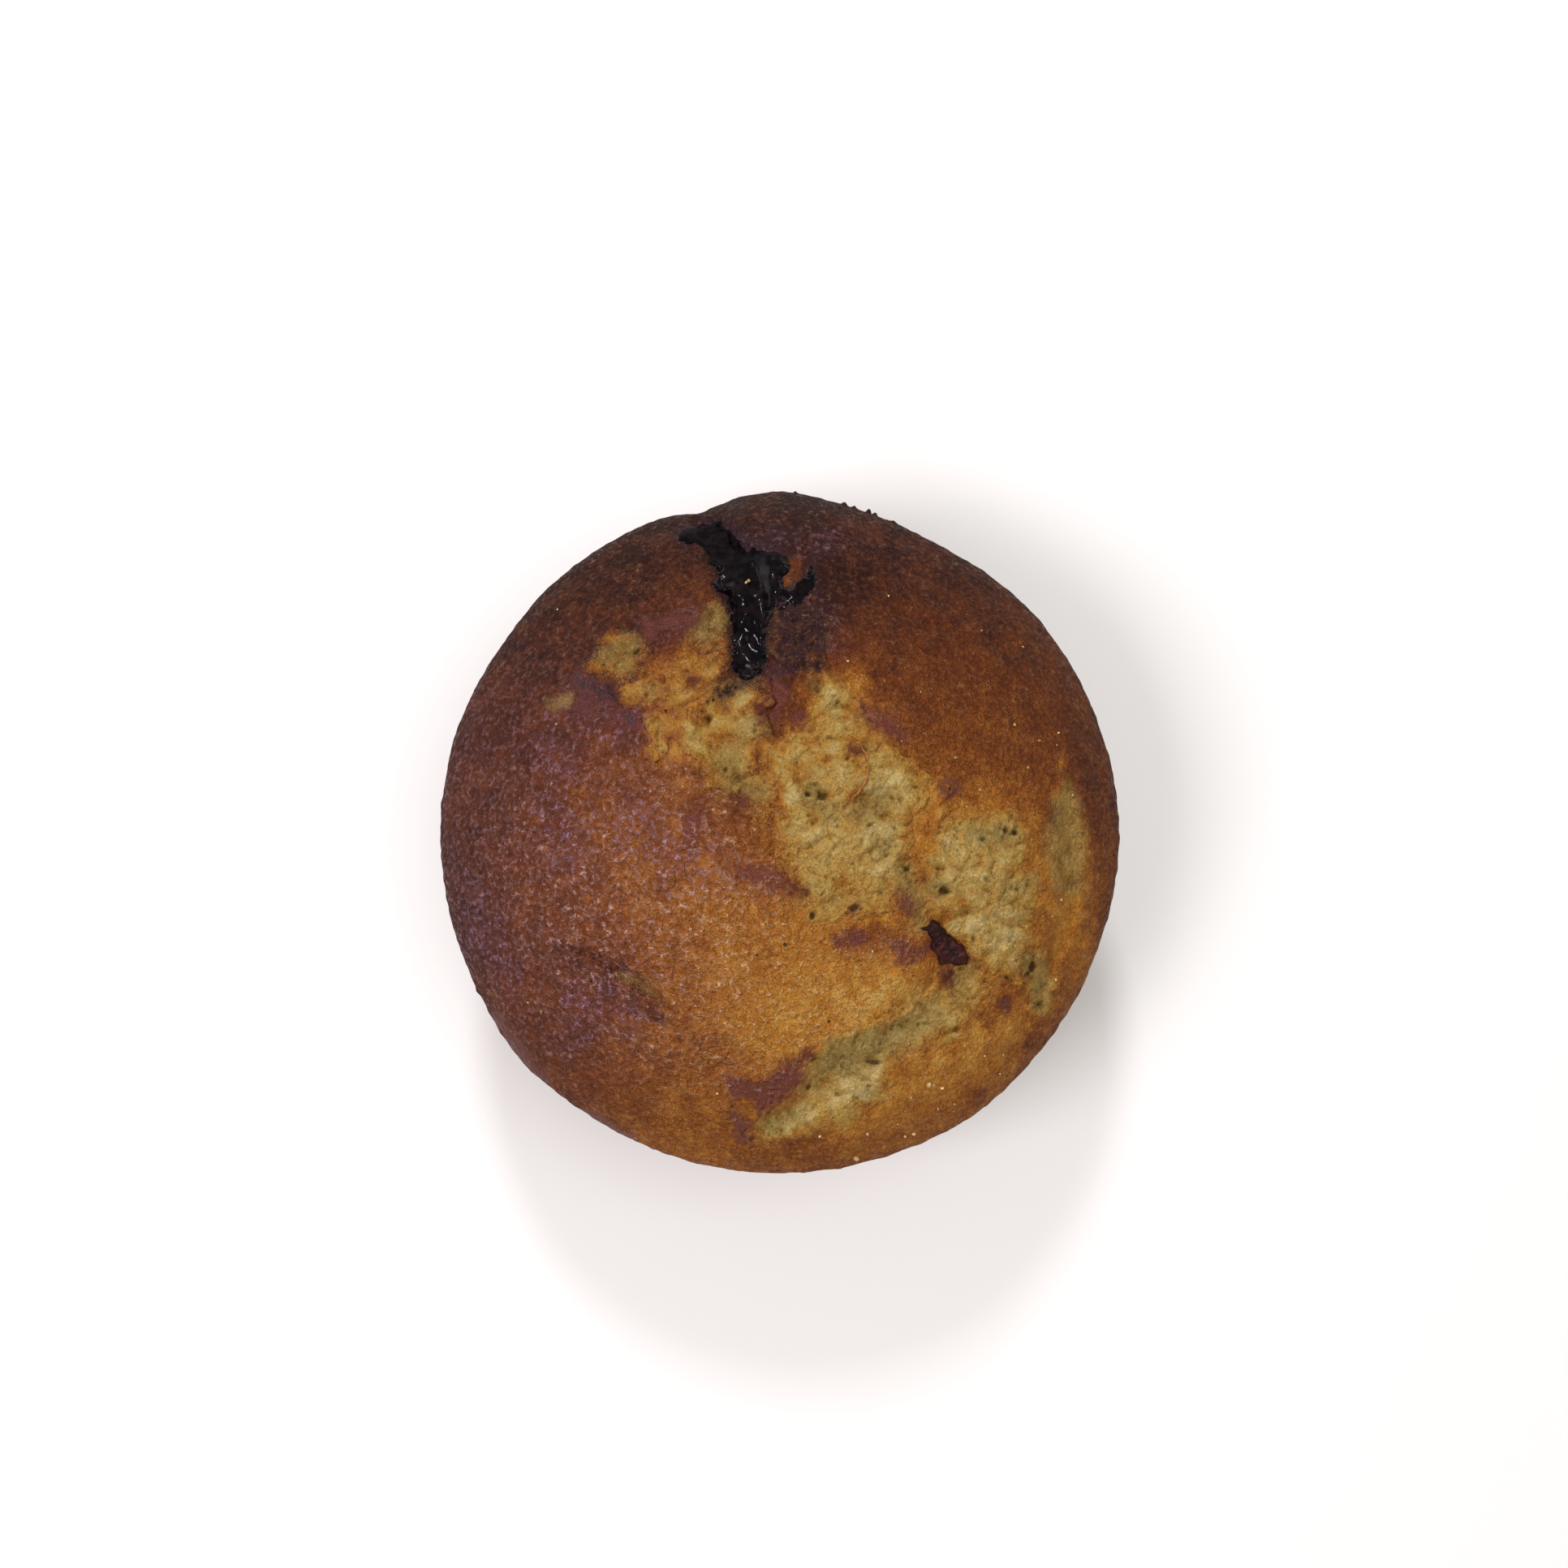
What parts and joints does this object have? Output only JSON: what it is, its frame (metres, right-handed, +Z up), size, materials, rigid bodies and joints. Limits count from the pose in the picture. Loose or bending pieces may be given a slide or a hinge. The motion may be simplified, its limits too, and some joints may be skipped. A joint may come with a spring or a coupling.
{
  "type": "banana bread",
  "caption": "Small round banana bread with a browned domed crust that is torn open over pale crumb, and melted chocolate in the tear.",
  "frame": {"origin": "middle of the flat base, on the surface that the cake stands on", "axes": "+Z up, +Y towards the end of the tear that holds the melted chocolate, +X to its right seen from above"},
  "size_m": [0.1018, 0.1022, 0.0533],
  "materials": {
    "crust_and_crumb": "browned crust over pale porous crumb",
    "melted_chocolate": "wet and glossy",
    "set_chocolate": "dull and crumbly"
  },
  "bodies": {
    "root": {"bread": "crust_and_crumb", "chocolate_pool": "melted_chocolate", "chocolate_shard": "set_chocolate"}
  },
  "joints": []
}
